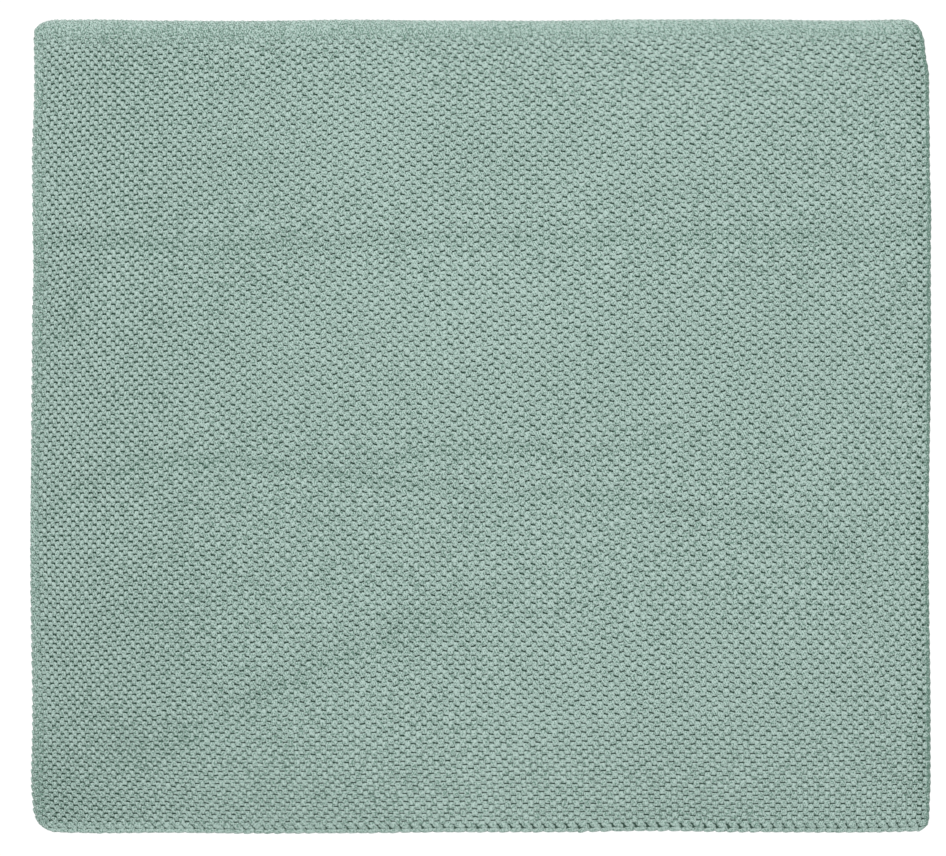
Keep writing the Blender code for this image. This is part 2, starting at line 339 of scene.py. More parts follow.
def knitPlace(column, ridge):
    # where a point of the lattice lies on the flat sheet
    fromEnd = knit["ridges"] - ridge
    fade = np.minimum(1, (knit["columns"] - np.abs(column)) / knit["fadeColumns"])
    fade = fade * np.minimum(1, fromEnd / knit["fadeRidges"]) * np.minimum(1, ridge / knit["fadeRidges"])
    sideways = np.zeros_like(column)
    along = np.zeros_like(column)
    for w in knit["wander"]:
        across = 2 * math.pi * column / w["columnWave"]
        down = 2 * math.pi * ridge / w["ridgeWave"]
        skewAcross = knit["waveSkew"][0] * across - w["phase"]
        skewDown = knit["waveSkew"][1] * down + w["phase"]
        sideways += w["sideways"] * np.sin(down + w["phase"]) * np.cos(skewAcross)
        along += w["along"] * np.sin(across + knit["phaseSkew"] * w["phase"]) * np.cos(skewDown)
    sideways += knit["leanIn"]["sideways"] * hump(column, fromEnd, knit["leanIn"])
    column = column + sideways * fade
    fromEnd = fromEnd - along * fade
    steps = np.abs(column)
    out = acrossSheet(steps, fromEnd)
    underShare = (underLong + rollLong / 2) / (upperLong + rollLong / 2)
    u = underLong + rollLong / 2 + np.where(column < 0, -out * underShare, out)
    run = flatLength - upSheet(steps, fromEnd)
    onUpper = np.interp(run, *lengthAlong(1))
    onUnder = np.interp(run, *lengthAlong(-1))
    upperShare = (np.clip(column / knit["layerPart"], -1, 1) + 1) / 2
    return u, onUnder + (onUpper - onUnder) * upperShare


# the frame's solid is centred on its box, so the folds, measured every 1 to 3 mm, are moved as much as it was
everyU, everyV = np.meshgrid(np.linspace(0, flatWidth, 300), np.linspace(0, flatLength, 900))
skins = [foldedPlace(everyU, everyV, side * fold["thick"] / 2).reshape(-1, 3) for side in (-1, 1)]
skins = np.concatenate(skins)
boxLow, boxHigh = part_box("blanket")
settled = (np.array(boxLow) + np.array(boxHigh)) / 2 - (skins.min(0) + skins.max(0)) / 2
settled[2] = boxLow.z - skins[:, 2].min()
print("folds moved by", settled * 1000, "mm")


def onSurface(u, v, h):
    place = foldedPlace(u, v, h) + settled
    place[:, 2] = np.maximum(place[:, 2], boxLow.z)  # nothing goes through the surface it lies on
    return place


def onTheFolds(column, ridge, h):
    return onSurface(*knitPlace(column, ridge), h)


yarn = {
    "light": (0.379, 0.503, 0.459, 1),
    "shade": (0.075, 0.16, 0.12, 1),
    "gapShade": (0.02, 0.07, 0.045, 1),  # painted shade, deep between the stitches
    "lightShare": 0.78,  # how far a plain stitch is from shade to light
    "patchScale": 22,  # slow changes of tone over the blanket
    "patchAmount": 0.2,
    "fibreScale": 1500,
    "fibreRough": 0.65,
    # fibre flecks: partly the fibres' own mottling, partly painted shade and painted highlight of their fuzz
    "fibreFleckAndShade": 6.2,
    "toneAndShadeAmount": 0.12,  # from stitch to stitch, and the painted shade and light in creases, patches, folds and selvedge knots
    "plyLightAndShade": 0.5,  # painted shade between the strands of a stitch and painted light on them
    "rough": 0.97,
    "roughSpread": 0.1,  # less rough where a fibre stands up
    "sheen": 0.25,
    "sheenRough": 0.6,
    "specular": 0.25,
    "fibreBump": 1.0,
    "plyBump": 0.6,
    "plyScale": 1.1,  # strands across a stitch, on its own map
    "plyWaver": 1.5,
    "plyTurn": math.radians(35),
    "stitchBump": (0.5, 0.4 * mm),
    "sheetBump": (0.8, 0.6 * mm),
}


def newMaterial(name):
    mat = bpy.data.materials.new(name)
    mat.use_nodes = True
    return mat, mat.node_tree.nodes, mat.node_tree.links


def newGroup(name, given, made):
    # a node group with number inputs and outputs, but for a Lattice vector and a Colour
    group = bpy.data.node_groups.new(name, "ShaderNodeTree")
    kinds = {"Lattice": "NodeSocketVector", "Colour": "NodeSocketColor"}
    for socket in given:
        group.interface.new_socket(socket, in_out="INPUT", socket_type=kinds.get(socket, "NodeSocketFloat"))
    for socket in made:
        group.interface.new_socket(socket, in_out="OUTPUT", socket_type=kinds.get(socket, "NodeSocketFloat"))
    return group, group.nodes, group.links


def mathNode(nodes, links, operation, first, second=None, clamp=False):
    node = nodes.new("ShaderNodeMath")
    node.operation = operation
    node.use_clamp = clamp
    for socket, value in zip(node.inputs, (first, second)):
        if value is None:
            continue
        if isinstance(value, (int, float)):
            socket.default_value = value
        else:
            links.new(value, socket)
    return node.outputs[0]


def centred(nodes, links, value, amount):
    # a value from 0 to 1 as a change up or down
    return mathNode(nodes, links, "MULTIPLY", mathNode(nodes, links, "SUBTRACT", value, 0.5), amount)


def noiseNode(nodes, links, place, scale, detail):
    texture = nodes.new("ShaderNodeTexNoise")
    texture.inputs["Scale"].default_value = scale
    texture.inputs["Detail"].default_value = detail
    links.new(place, texture.inputs["Vector"])
    return texture


def colourMix(nodes, links, share):
    mix = nodes.new("ShaderNodeMix")
    mix.data_type = "RGBA"
    links.new(share, mix.inputs["Factor"])
    return mix


def yarnGroup():
    # cotton yarn: takes a tone with painted shade in it, 0.5 for a plain stitch, and a strand's height, from
    # -0.5 to 0.5
    group, nodes, links = newGroup("cottonYarn", ("ToneAndShade", "Ply"), ("Colour", "Roughness", "Height"))
    given = nodes.new("NodeGroupInput")
    made = nodes.new("NodeGroupOutput")
    place = nodes.new("ShaderNodeTexCoord").outputs["Object"]
    patches = noiseNode(nodes, links, place, yarn["patchScale"], 1)
    fibres = noiseNode(nodes, links, place, yarn["fibreScale"], 3)
    fibres.inputs["Roughness"].default_value = yarn["fibreRough"]
    patch = centred(nodes, links, patches.outputs["Fac"], yarn["patchAmount"])
    # fibre flecks, partly painted shade and highlight
    fibre = centred(nodes, links, fibres.outputs["Fac"], yarn["fibreFleckAndShade"])
    toneAndShade = centred(nodes, links, given.outputs["ToneAndShade"], yarn["toneAndShadeAmount"])
    # painted light and shade along the strands
    ply = mathNode(nodes, links, "MULTIPLY", given.outputs["Ply"], yarn["plyLightAndShade"])
    total = mathNode(nodes, links, "ADD", mathNode(nodes, links, "ADD", patch, fibre),
                     mathNode(nodes, links, "ADD", toneAndShade, ply))
    mix = colourMix(nodes, links, mathNode(nodes, links, "ADD", total, yarn["lightShare"], clamp=True))
    mix.inputs["A"].default_value = yarn["shade"]
    mix.inputs["B"].default_value = yarn["light"]
    links.new(mix.outputs["Result"], made.inputs["Colour"])
    smoother = mathNode(nodes, links, "MULTIPLY", fibres.outputs["Fac"], yarn["roughSpread"])
    links.new(mathNode(nodes, links, "SUBTRACT", yarn["rough"], smoother), made.inputs["Roughness"])
    fibreHeight = mathNode(nodes, links, "MULTIPLY", fibres.outputs["Fac"], yarn["fibreBump"])
    plyHeight = mathNode(nodes, links, "MULTIPLY", given.outputs["Ply"], yarn["plyBump"])
    links.new(mathNode(nodes, links, "ADD", fibreHeight, plyHeight), made.inputs["Height"])
    return group


relief = {  # the stitches that are only in the sheet's material, where none are laid on it, with painted shade between them
    "halfWide": 0.74,  # of a column
    "halfLong": 0.45,  # of a ridge
    "light": 1.6,  # how soon a stitch's side turns from the painted gap shade to yarn
    "high": 2.2,  # times the fibres' height
}


def reliefGroup():
    # the knit's brick of stitches, on a UV map in columns and ridges: height of a stitch from 0 to 1
    group, nodes, links = newGroup("knitRelief", ("Lattice",), ("Height",))
    given = nodes.new("NodeGroupInput")
    made = nodes.new("NodeGroupOutput")
    split = nodes.new("ShaderNodeSeparateXYZ")
    links.new(given.outputs["Lattice"], split.inputs["Vector"])
    across = mathNode(nodes, links, "PINGPONG", split.outputs["X"], 1.0)
    down = mathNode(nodes, links, "PINGPONG", split.outputs["Y"], 0.5)
    nextAcross = mathNode(nodes, links, "SUBTRACT", 1.0, across)
    nextDown = mathNode(nodes, links, "SUBTRACT", 0.5, down)
    heights = []
    for x, y in ((across, down), (nextAcross, nextDown)):
        x = mathNode(nodes, links, "POWER", mathNode(nodes, links, "DIVIDE", x, relief["halfWide"]), 2.0)
        y = mathNode(nodes, links, "POWER", mathNode(nodes, links, "DIVIDE", y, relief["halfLong"]), 4.0)
        rest = mathNode(nodes, links, "SUBTRACT", 1.0, mathNode(nodes, links, "ADD", x, y), clamp=True)
        heights.append(mathNode(nodes, links, "SQRT", rest))
    links.new(mathNode(nodes, links, "MAXIMUM", *heights), made.inputs["Height"])
    return group


cottonYarn = yarnGroup()
knitRelief = reliefGroup()


def addGroup(nodes, group):
    node = nodes.new("ShaderNodeGroup")
    node.node_tree = group
    return node


def yarnFinish(nodes, links, cotton, height, bumps):
    # what the stitches and the sheet share; bumps is a strength and a distance
    surface = nodes["Principled BSDF"]
    surface.inputs["Sheen Weight"].default_value = yarn["sheen"]
    surface.inputs["Sheen Roughness"].default_value = yarn["sheenRough"]
    surface.inputs["Specular IOR Level"].default_value = yarn["specular"]
    links.new(cotton.outputs["Roughness"], surface.inputs["Roughness"])
    bump = nodes.new("ShaderNodeBump")
    bump.inputs["Strength"].default_value, bump.inputs["Distance"].default_value = bumps
    links.new(height, bump.inputs["Height"])
    links.new(bump.outputs["Normal"], surface.inputs["Normal"])
    return surface


def attributeNode(nodes, name):
    node = nodes.new("ShaderNodeAttribute")
    node.attribute_name = name
    return node.outputs["Fac"]


def uvNode(nodes, name):
    node = nodes.new("ShaderNodeUVMap")
    node.uv_map = name
    return node.outputs["UV"]


def stitchMaterial():
    mat, nodes, links = newMaterial("sageStitches")
    turned = nodes.new("ShaderNodeMapping")
    turned.inputs["Rotation"].default_value = (0, 0, yarn["plyTurn"])
    links.new(uvNode(nodes, "strand"), turned.inputs["Vector"])
    plies = nodes.new("ShaderNodeTexWave")
    plies.inputs["Scale"].default_value = yarn["plyScale"]
    plies.inputs["Distortion"].default_value = yarn["plyWaver"]
    plies.inputs["Detail"].default_value = 1
    links.new(turned.outputs["Vector"], plies.inputs["Vector"])
    cotton = addGroup(nodes, cottonYarn)
    links.new(attributeNode(nodes, "toneAndShade"), cotton.inputs["ToneAndShade"])
    links.new(mathNode(nodes, links, "SUBTRACT", plies.outputs["Fac"], 0.5), cotton.inputs["Ply"])
    surface = yarnFinish(nodes, links, cotton, cotton.outputs["Height"], yarn["stitchBump"])
    links.new(cotton.outputs["Colour"], surface.inputs["Base Color"])
    return mat


def sheetMaterial():
    mat, nodes, links = newMaterial("sageSheet")
    pattern = addGroup(nodes, knitRelief)
    links.new(uvNode(nodes, "knit"), pattern.inputs["Lattice"])
    cotton = addGroup(nodes, cottonYarn)
    cotton.inputs["ToneAndShade"].default_value = 0.5
    bare = mathNode(nodes, links, "SUBTRACT", 1.0, attributeNode(nodes, "covered"))
    shown = mathNode(nodes, links, "MULTIPLY", pattern.outputs["Height"], bare)
    # painted shade in the gaps between the material's stitches
    mix = colourMix(nodes, links, mathNode(nodes, links, "MULTIPLY", shown, relief["light"], clamp=True))
    mix.inputs["A"].default_value = yarn["gapShade"]
    links.new(cotton.outputs["Colour"], mix.inputs["B"])
    raised = mathNode(nodes, links, "MULTIPLY", shown, relief["high"])
    height = mathNode(nodes, links, "ADD", raised, cotton.outputs["Height"])
    surface = yarnFinish(nodes, links, cotton, height, yarn["sheetBump"])
    links.new(mix.outputs["Result"], surface.inputs["Base Color"])
    return mat


sageStitches = stitchMaterial()
sageSheet = sheetMaterial()
print("yarn ready")


def putInScene(name, mesh, material):
    piece = bpy.data.objects.new(name, mesh)
    bpy.context.scene.collection.objects.link(piece)
    mesh.materials.append(material)
    return piece


def getPoints(mesh):
    co = np.empty(len(mesh.vertices) * 3)
    mesh.vertices.foreach_get("co", co)
    return co.reshape(-1, 3)


def setPoints(mesh, co):
    mesh.vertices.foreach_set("co", np.ascontiguousarray(co, dtype=float).ravel())
    mesh.update()


def pointValues(mesh, name, values):
    mesh.attributes.new(name, "FLOAT", "POINT").data.foreach_set("value", values)


def inOrder(place):
    # a number for each place, so that sorting by it gives the same order every run
    return place.x + 7.13 * place.y + 51.7 * place.z


def sortParts(bm):
    bm.verts.sort(key=lambda vert: inOrder(vert.co))
    bm.faces.sort(key=lambda face: inOrder(face.calc_center_median()))


def smoothMesh(name, bm):
    bmesh.ops.recalc_face_normals(bm, faces=bm.faces)
    sortParts(bm)
    mesh = bpy.data.meshes.new(name)
    bm.to_mesh(mesh)
    bm.free()
    mesh.shade_smooth()
    return mesh


def repeated(base, steps):
    # a mesh repeated by Array modifiers: steps are (count, (x, y, z)) in the mesh's own units
    holder = bpy.data.objects.new("repeat", base)
    bpy.context.scene.collection.objects.link(holder)
    for count, offset in steps:
        array = holder.modifiers.new("repeat", "ARRAY")
        array.count = count
        array.use_relative_offset = False
        array.use_constant_offset = True
        array.constant_offset_displace = offset
    shown = holder.evaluated_get(bpy.context.evaluated_depsgraph_get())
    mesh = bpy.data.meshes.new_from_object(shown)
    bpy.data.objects.remove(holder)
    return mesh


# the sheet is the ground that the stitches lie on
sheet = {
    "innerFace": -1.2 * mm,
    "outerFace": 1.15 * mm,
    "underStitches": 0.45 * mm,  # outer face where stitches lie on it
    "cellColumns": 3,
    "cellRidges": 3,
    "rollColumns": (-3, 3),  # round the half fold its cells are smaller
    "rollStep": 0.5,
    "turnStep": 0.4,  # and in the two turns
    "stitchedRoll": 4.4,  # columns either side of the half fold that carry stitches on every layer
    "sideIn": 0.45,  # columns, so that the selvedge's own stitches make the side
    "endIn": 0.4,  # ridges, and the chain's the end
}


def stationList(low, high, step, close, closeStep):
    # even steps, closer together in the stretches named by close
    places = list(np.arange(low, high, step)) + [high]
    spare = 0.4 * step
    for start, end in close:
        places = [p for p in places if p < start - spare or p > end + spare]
        places += list(np.arange(start, end + closeStep / 2, closeStep))
    return np.array(sorted(places), dtype=float)


def stitchesShow(column, ridge):
    # where stitches are laid on the outer face
    onTop = (column > -sheet["stitchedRoll"]) & (ridge > farRidges[0])
    onNearTurn = (column < sheet["stitchedRoll"]) & (ridge > nearRidges[0]) & (ridge < nearRidges[1])
    onRoll = np.abs(column) < sheet["stitchedRoll"]
    return onTop | onNearTurn | onRoll


def ridgesAt(place, side):
    # the lowest and highest ridge at a place along the flat sheet, on the upper (1) or under (-1) layer,
    # found on every twelfth column
    ridges = np.linspace(0, knit["ridges"], 5 * knit["ridges"] + 1)
    found = []
    for column in range(0, knit["columns"], 12):
        along = knitPlace(np.full_like(ridges, column * side), ridges)[1]
        found.append(float(np.interp(place, along, ridges)))
    return min(found), max(found)


farRidges = (ridgesAt(farTurnStart, 1)[0], ridgesAt(farTurnEnd, 1)[1])
nearRidges = (ridgesAt(bottomRun, -1)[0], ridgesAt(nearTurnEnd, -1)[1])
print("the last fold's ridges:", farRidges, "and the hidden one's:", nearRidges)


def makeSheet():
    side = knit["columns"] - sheet["sideIn"]
    end = knit["ridges"] - sheet["endIn"]
    turns = [(first - 1, last + 1) for first, last in (nearRidges, farRidges)]
    across = stationList(-side, side, sheet["cellColumns"], [sheet["rollColumns"]], sheet["rollStep"])
    along = stationList(sheet["endIn"], end, sheet["cellRidges"], turns, sheet["turnStep"])
    bm = bmesh.new()
    bmesh.ops.create_grid(bm, x_segments=len(across) - 1, y_segments=len(along) - 1, size=0.5)
    top = bmesh.ops.extrude_face_region(bm, geom=bm.faces[:])
    raised = [v for v in top["geom"] if isinstance(v, bmesh.types.BMVert)]
    bmesh.ops.translate(bm, verts=raised, vec=(0, 0, 1))
    bmesh.ops.recalc_face_normals(bm, faces=bm.faces)
    sortParts(bm)
    mesh = bpy.data.meshes.new("knitSheet")
    bm.to_mesh(mesh)
    bm.free()
    co = getPoints(mesh)
    column = across[np.rint((co[:, 0] + 0.5) * (len(across) - 1)).astype(int)]
    ridge = along[np.rint((co[:, 1] + 0.5) * (len(along) - 1)).astype(int)]
    isOuter = co[:, 2] > 0.5
    covered = stitchesShow(column, ridge) & isOuter
    h = np.where(isOuter, np.where(covered, sheet["underStitches"], sheet["outerFace"]), sheet["innerFace"])
    setPoints(mesh, onTheFolds(column, ridge, h))
    pointValues(mesh, "covered", covered.astype(float))
    uv = mesh.uv_layers.new(name="knit")
    corner = np.empty(len(mesh.loops), dtype=int)
    mesh.loops.foreach_get("vertex_index", corner)
    uv.data.foreach_set("uv", np.stack((column[corner], ridge[corner]), axis=-1).ravel())
    bm = bmesh.new()
    bm.from_mesh(mesh)
    bmesh.ops.recalc_face_normals(bm, faces=bm.faces)
    bm.to_mesh(mesh)
    bm.free()
    mesh.shade_smooth()
    print("sheet bent onto the folds")
    return putInScene("knitSheet", mesh, sageSheet)


stitch = {
    "width": 1.85,  # of a column
    "length": 0.95,  # of a ridge
    "foot": 0.25 * mm,  # where its flat back sits in the sheet
    "crown": 1.45 * mm,
    "blunt": 0.66,  # 1 is an oval, less is squarer at the ends
    "square": 0.7,
    "flat": 0.55,  # below 1 its top is flatter and its sides steeper
    "waist": 0.48,  # its width in the middle, between its neighbours' ends
    "waistReach": 0.6,  # of half its length
    "leastRise": 0.2,  # of its height, where it slopes down
    # lean: columns a ridge; tilt and bend: slant and droop of its ends, in ridges a column; sway: how far
    # its waist swings; roll: how much higher its right side is; shingle: how much higher its cap is than
    # its tail. The swaps turn round in the next column.
    "bars": {"lean": 0.08, "leanSwap": 0.1, "tilt": 0.0, "tiltSwap": 0.14, "bend": -0.12, "sway": 0.02,
             "roll": 0.08, "shingle": 0.1, "shorter": 0.0, "narrower": 0.0, "waisted": 0.0},
    "scales": {"lean": 0.03, "leanSwap": 0.28, "tilt": 0.02, "tiltSwap": 0.03, "bend": 0.2, "sway": 0.01,
               "roll": 0.1, "shingle": 0.35, "shorter": 0.035, "narrower": 0.02, "waisted": 0.08},
    "bricks": {"lean": 0.05, "leanSwap": 0.03, "tilt": 0.0, "tiltSwap": 0.04, "bend": -0.03, "sway": 0.0,
               "roll": 0.05, "shingle": 0.1, "shorter": 0.0, "narrower": 0.0, "waisted": 0.1},
    "scalesReach": (12, 54),  # columns from the half fold where scales turn into bars
    "bricksReach": (8, 16),  # ridges from the cast-off edge where bricks turn into bars
    # on the last fold and the half fold the stitches are calm: they close up, vary less and are painted
    # darker, a painted shade for where the knit turns down
    "calmPlaces": (0, 0.35, 1),  # parts of the way from the half fold to the selvedge
    "calmReach": (8 * mm, 4 * mm, 1.5 * mm),  # past the last fold, at those places
    "calmLonger": 0.18,
    "calmWider": 0.08,
    "calmLower": 0.2 * mm,
    "calmEvenLength": 0.6,  # how much less their lengths vary
    "calmEvenPlace": 0.5,  # and how much less their places do
    # painted shade on the turns of both folds
    "calmShade": 1.5,
    "rollColumns": (1.5, 4.0),  # how far the half fold's calm reaches
    "rollCalm": 0.8,
    # more painted shade round the half fold
    "rollShade": 1.2,
    "edgeColumns": (164.5, 166.5),  # towards the selvedge they stand apart
    "edgeShorter": 0.09,
    "edgeNarrower": 0.1,
    "edgeFree": 0.6,  # columns and ridges left to the selvedges and the cast-off chain
    "castOnFree": 1,  # and to the cast-on one
    "sides": 6,
    "rings": 5,
    "seed": 9011,
    "spread": {  # how much they vary from one to the next
        "columns": 0.025, "ridges": 0.011, "length": 0.011, "width": 0.015, "crown": 0.025 * mm,
        "lean": 0.04, "tilt": 0.02, "bend": 0.02, "roll": 0.03,
    },
    "tones": (0.2, 0.8),
    "rollSide": 4,  # columns of the half fold's stitches, either side of its middle
    "bands": (44, 42, 44, 42),  # columns in each piece of the top, from the half fold's under side
}


def yarnBump(bm, sides, rings, blunt, square):
    # a rounded length of yarn along y, from -1 to 1 on each axis; blunt and square below 1 fill out its ends
    made = bmesh.ops.create_uvsphere(bm, u_segments=sides, v_segments=rings, radius=1)
    lying = Matrix.Rotation(math.radians(-90), 3, "X")
    bmesh.ops.rotate(bm, verts=made["verts"], cent=(0, 0, 0), matrix=lying)
    for v in made["verts"]:
        outward = math.hypot(v.co.x, v.co.z)
        fill = max(outward, 0.001) ** (square - 1)
        v.co.x *= fill
        v.co.z *= fill
        v.co.y = math.copysign(abs(v.co.y) ** blunt, v.co.y)


def cutToBack(bm):
    # keeps the half above z = 0 and closes its flat back
    cut = bmesh.ops.bisect_plane(bm, geom=bm.verts[:] + bm.edges[:] + bm.faces[:], plane_co=(0, 0, 0),
                                 plane_no=(0, 0, 1), clear_inner=True, dist=0.0001)
    rim = [e for e in cut["geom_cut"] if isinstance(e, bmesh.types.BMEdge)]
    rim.sort(key=lambda edge: inOrder((edge.verts[0].co + edge.verts[1].co) / 2))
    bmesh.ops.triangle_fill(bm, use_beauty=True, edges=rim)


def strandMap(bm):
    uv = bm.loops.layers.uv.new("strand")
    for face in bm.faces:
        for loop in face.loops:
            loop[uv].uv = (loop.vert.co.x + 0.5, loop.vert.co.y + 0.5)


def oneStitch():
    # x in columns, y in ridges, z from foot (0) to crown (1)
    bm = bmesh.new()
    yarnBump(bm, stitch["sides"], stitch["rings"], stitch["blunt"], stitch["square"])
    cutToBack(bm)
    for v in bm.verts:
        shoulder = min(abs(v.co.y) / stitch["waistReach"], 1)
        v.co.x *= stitch["waist"] + (1 - stitch["waist"]) * shoulder * shoulder
        v.co.z = max(round(v.co.z, 6), 0) ** stitch["flat"]  # rounded, so that the back stays at 0
    bmesh.ops.scale(bm, verts=bm.verts, vec=(stitch["width"] / 2, stitch["length"] / 2, 1))
    strandMap(bm)
    return smoothMesh("stitch", bm)


def looksAt(column, ridge):
    # each value of a look, where bars run into scales and bricks
    scaly = fades(stitch["scalesReach"], np.abs(column))
    bricky = fades(stitch["bricksReach"], knit["ridges"] - ridge)
    look = {}
    for key, plain in stitch["bars"].items():
        look[key] = plain + (stitch["bricks"][key] - plain) * bricky
        look[key] = look[key] + (stitch["scales"][key] - look[key]) * scaly
    return look


def calmBy(column, ridge):
    # 1 on the last fold, 0 where its calm ends
    reach = np.interp(column / knit["columns"], stitch["calmPlaces"], stitch["calmReach"])
    along = knitPlace(column, ridge)[1]
    return ease((farTurnEnd + reach - along) / reach)


def layStitches(name, firstColumn, columns, firstRidge, ridges):
    # neighbouring columns are half a ridge apart
    one = oneStitch()
    pointsEach = len(one.vertices)
    mesh = repeated(one, [(2, (1, 0.5, 0)), (columns // 2, (2, 0, 0)), (ridges, (0, 1, 0))])
    mesh.name = name
    co = getPoints(mesh)
    count = len(co) // pointsEach
    number = np.arange(len(co)) // pointsEach
    odd = np.arange(count) % 2
    atColumn = (np.arange(count) // 2 % (columns // 2)) * 2.0 + odd
    atRidge = np.arange(count) // columns + 0.5 * odd
    column = firstColumn + atColumn
    ridge = firstRidge + atRidge
    chance = np.random.RandomState(stitch["seed"] + int(firstColumn) * 7 + int(firstRidge) * 3)
    spread = {key: chance.normal(0, amount, count) for key, amount in stitch["spread"].items()}
    look = looksAt(column, ridge)
    onRoll = fades(stitch["rollColumns"], np.abs(column))
    calm = np.maximum(calmBy(column, ridge), stitch["rollCalm"] * onRoll)
    byEdge = 1 - fades(stitch["edgeColumns"], column)
    # what each stitch is stretched, leant and bent by
    swapped = 1 - 2 * odd
    longer = 1 - look["shorter"] - stitch["edgeShorter"] * byEdge + stitch["calmLonger"] * calm
    longer = longer + spread["length"] * (1 - stitch["calmEvenLength"] * calm)
    wider = 1 - look["narrower"] - stitch["edgeNarrower"] * byEdge + stitch["calmWider"] * calm
    wider = wider + spread["width"]
    crown = stitch["crown"] - stitch["calmLower"] * calm + spread["crown"]
    lean = look["lean"] + swapped * look["leanSwap"] + spread["lean"]
    tilt = look["tilt"] + swapped * look["tiltSwap"] + spread["tilt"]
    bend = look["bend"] + spread["bend"]
    roll = look["roll"] + spread["roll"]
    column = column + spread["columns"]
    ridge = ridge + spread["ridges"] * (1 - stitch["calmEvenPlace"] * calm)
    # every point of every stitch
    dy = (co[:, 1] - atRidge[number]) * longer[number]
    waisted = 1 - look["waisted"][number] * np.maximum(np.cos(math.pi * dy), 0)
    dx = (co[:, 0] - atColumn[number]) * wider[number] * waisted
    slope = 1 + roll[number] * dx - 2 * look["shingle"][number] * dy
    rise = co[:, 2] * np.maximum(stitch["leastRise"], slope)
    sway = look["sway"][number] * np.sin(math.pi * np.clip(2 * dy, -1, 1))
    column = column[number] + dx + lean[number] * dy + sway
    ridge = ridge[number] + dy + tilt[number] * dx + bend[number] * dx * dx
    lastColumn = knit["columns"] - stitch["edgeFree"]
    column = np.clip(column, -lastColumn, lastColumn)
    ridge = np.clip(ridge, stitch["castOnFree"], knit["ridges"] - stitch["edgeFree"])
    place = onTheFolds(column, ridge, stitch["foot"] + rise * (crown[number] - stitch["foot"]))
    setPoints(mesh, place)
    middles = place.reshape(count, pointsEach, 3).mean(axis=1)
    # each stitch's own random tone, with the painted light and shade of the creases and patches added
    toneAndShade = chance.uniform(*stitch["tones"], count) + paintedLightAndShade(middles[:, 0], middles[:, 1])
    # painted shade on the turns of the last fold and the half fold
    toneAndShade = toneAndShade - stitch["calmShade"] * calm - stitch["rollShade"] * onRoll
    pointValues(mesh, "toneAndShade", toneAndShade[number])
    return putInScene(name, mesh, sageStitches)


def makeStitches():
    pieces = []
    topFirst = math.floor(farRidges[0])
    nearFirst = math.floor(nearRidges[0])
    rollSide = stitch["rollSide"]
    start = -rollSide
    for letter, columns in zip("ABCD", stitch["bands"]):
        ridges = knit["ridges"] - topFirst - 1
        pieces.append(layStitches("topStitches" + letter, start, columns, topFirst + 0.5, ridges))
        start += columns
    pieces.append(layStitches("rollStitches", -rollSide, 2 * rollSide, 0.5, topFirst))
    ridges = math.ceil(nearRidges[1]) - nearFirst
    columns = knit["columns"] - rollSide
    pieces.append(layStitches("nearTurnStitches", 1 - knit["columns"], columns, nearFirst + 0.5, ridges))
    return pieces


# a chain runs along each end, and a column of knots down each selvedge
edges = {
    "chainArm": (5.8 * mm, 5.0 * mm),  # each link's outer arm and its inner one
    "chainYarn": (2.15 * mm, 2.5 * mm),
    "chainThick": 2.8 * mm,
    "armIn": (0.9 * mm, 2.75 * mm),  # how far in from the end they lie
    "armTurn": (-5, 20),  # degrees
    "armWaver": 0.06,  # radians
    "chainShort": 0.8 * mm,  # the chain stops this far inside the selvedges
    "chainTones": (0.3, 1),
    "knotWide": 2.7 * mm,
    "knotLong": 1.6,  # ridges
    "knotThick": 2.6 * mm,
    "knotIn": 1.2 * mm,
    "knotSlant": 0.44 * mm,  # sideways in a ridge
    "knotWaver": 0.06,  # ridges
    # painted shade on the selvedge knots, which face out to the floor's light
    "knotShade": 6.0,
    "knotTones": (0.2, 0.9),
    "blunt": 0.75,
    "square": 0.8,
    "sides": 8,
    "rings": 5,
    "chainSeed": 95,
    "knotSeed": 5,
}


def oneBump(name, wide, long, thick):
    bm = bmesh.new()
    yarnBump(bm, edges["sides"], edges["rings"], edges["blunt"], edges["square"])
    strandMap(bm)
    bmesh.ops.scale(bm, verts=bm.verts, vec=(wide / 2, long / 2, thick / 2))
    return smoothMesh(name, bm)


def chainRow(name, arm, atCastOff):
    # one arm of every link, a link to each pair of columns
    base = oneBump(name, edges["chainYarn"][arm], edges["chainArm"][arm], edges["chainThick"])
    pointsEach = len(base.vertices)
    links = knit["columns"]
    mesh = repeated(base, [(links, (1, 0, 0))])
    co = getPoints(mesh)
    number = np.arange(len(co)) // pointsEach
    turn = edges["armTurn"][arm]
    chance = np.random.RandomState(edges["chainSeed"] + turn)
    turned = math.radians(90 - turn) + chance.normal(0, edges["armWaver"], links)[number]
    dx = co[:, 0] - number
    across = dx * np.cos(turned) + co[:, 1] * np.sin(turned)
    along = -dx * np.sin(turned) + co[:, 1] * np.cos(turned)
    ends = np.full(len(co), float(knit["ridges"] if atCastOff else 0))
    u = knitPlace(2 * number + 1.0 - knit["columns"], ends)[0] + across
    u = np.clip(u, edges["chainShort"], flatWidth - edges["chainShort"])
    inward = edges["armIn"][arm] - along
    setPoints(mesh, onSurface(u, flatLength - inward if atCastOff else inward, co[:, 2]))
    pointValues(mesh, "toneAndShade", chance.uniform(*edges["chainTones"], links)[number])
    return mesh


def joined(name, meshes):
    bm = bmesh.new()
    for mesh in meshes:
        bm.from_mesh(mesh)
    whole = bpy.data.meshes.new(name)
    bm.to_mesh(whole)
    bm.free()
    whole.shade_smooth()
    return putInScene(name, whole, sageStitches)


def makeChain(name, atCastOff):
    return joined(name, [chainRow(name, arm, atCastOff) for arm in (0, 1)])


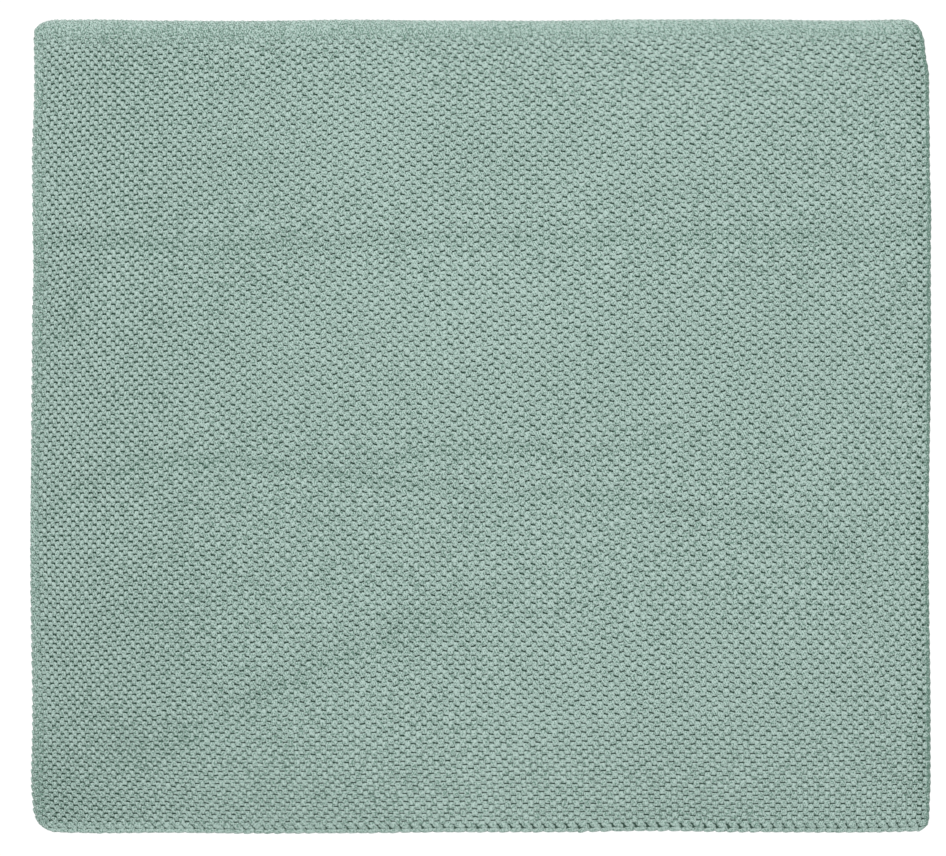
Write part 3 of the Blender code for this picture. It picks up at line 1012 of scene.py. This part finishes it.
def knotRow(name, side):
    base = oneBump(name, edges["knotWide"], edges["knotLong"], edges["knotThick"])
    pointsEach = len(base.vertices)
    mesh = repeated(base, [(knit["ridges"] - 1, (0, 1, 0))])
    co = getPoints(mesh)
    number = np.arange(len(co)) // pointsEach
    chance = np.random.RandomState(edges["knotSeed"] + side)
    shift = chance.normal(0, edges["knotWaver"], knit["ridges"])[number]
    u, v = knitPlace(np.full(len(co), float(side * knit["columns"])), co[:, 1] + 1.0 + shift)
    u = u - side * (edges["knotIn"] - co[:, 0]) + edges["knotSlant"] * (co[:, 1] - number)
    setPoints(mesh, onSurface(u, v, co[:, 2]))
    # painted shade: the knots are darkened as a whole
    toneAndShade = chance.uniform(*edges["knotTones"], knit["ridges"]) - edges["knotShade"]
    pointValues(mesh, "toneAndShade", toneAndShade[number])
    return mesh


knitSheet = makeSheet()
stitches = makeStitches()
print("stitches laid")
castOffChain = makeChain("castOffChain", True)
castOnChain = makeChain("castOnChain", False)
selvedges = joined("selvedges", [knotRow("knots", -1), knotRow("knots", 1)])
print("edges laid")
onSheet = stitches + [castOffChain, castOnChain, selvedges]

for piece in [knitSheet] + onSheet:
    piece.data.calc_loop_triangles()
    print(piece.name, len(piece.data.loop_triangles), "triangles")
    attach(piece, "root")
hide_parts("blanket")


studio = {
    "lens": 200,
    "sensor": 36,
    "cameraPlace": (-3.03 * mm, -1.04 * mm, 2.2165),
    "keyPlace": (-0.35, 0.9, 1.5),
    "keySize": (1.2, 0.8),
    "keyPower": 18,
    "world": 0.92,
    "floorReach": 4,
    "floorGrey": (0.9, 0.9, 0.9, 1),
    "floorRough": 0.9,
    "floorGlow": 1.05,  # seen by the camera only
    "floorGlowShare": 0.97,  # the rest shows the shadow, faintly
}


def makeFloor():
    bm = bmesh.new()
    bmesh.ops.create_grid(bm, x_segments=1, y_segments=1, size=studio["floorReach"])
    mesh = bpy.data.meshes.new("floor")
    bm.to_mesh(mesh)
    bm.free()
    mat, nodes, links = newMaterial("paleFloor")
    surface = nodes["Principled BSDF"]
    surface.inputs["Base Color"].default_value = studio["floorGrey"]
    surface.inputs["Roughness"].default_value = studio["floorRough"]
    glow = nodes.new("ShaderNodeEmission")
    glow.inputs["Strength"].default_value = studio["floorGlow"]
    seen = nodes.new("ShaderNodeLightPath").outputs["Is Camera Ray"]
    mix = nodes.new("ShaderNodeMixShader")
    links.new(mathNode(nodes, links, "MULTIPLY", seen, studio["floorGlowShare"]), mix.inputs["Fac"])
    links.new(surface.outputs["BSDF"], mix.inputs[1])
    links.new(glow.outputs["Emission"], mix.inputs[2])
    links.new(mix.outputs["Shader"], nodes["Material Output"].inputs["Surface"])
    putInScene("floor", mesh, mat)


def makeLights():
    world = bpy.data.worlds.new("studio")
    bpy.context.scene.world = world
    world.use_nodes = True
    world.node_tree.nodes["Background"].inputs["Color"].default_value = (1, 1, 1, 1)
    world.node_tree.nodes["Background"].inputs["Strength"].default_value = studio["world"]
    key = bpy.data.lights.new("key", "AREA")
    key.shape = "RECTANGLE"
    key.size, key.size_y = studio["keySize"]
    key.energy = studio["keyPower"]
    lamp = bpy.data.objects.new("key", key)
    x, y, z = studio["keyPlace"]
    lamp.location = (x, y, z)
    lamp.rotation_euler = (-math.atan2(y, z), math.atan2(x, z), 0)  # it faces the blanket
    bpy.context.scene.collection.objects.link(lamp)


def makeCamera():
    data = bpy.data.cameras.new("overhead")
    data.lens = studio["lens"]
    data.sensor_width = studio["sensor"]
    camera = bpy.data.objects.new("overhead", data)
    camera.location = studio["cameraPlace"]
    bpy.context.scene.collection.objects.link(camera)
    bpy.context.scene.camera = camera


makeFloor()
makeLights()
makeCamera()
bpy.context.scene.view_settings.view_transform = "Standard"
print("studio ready")
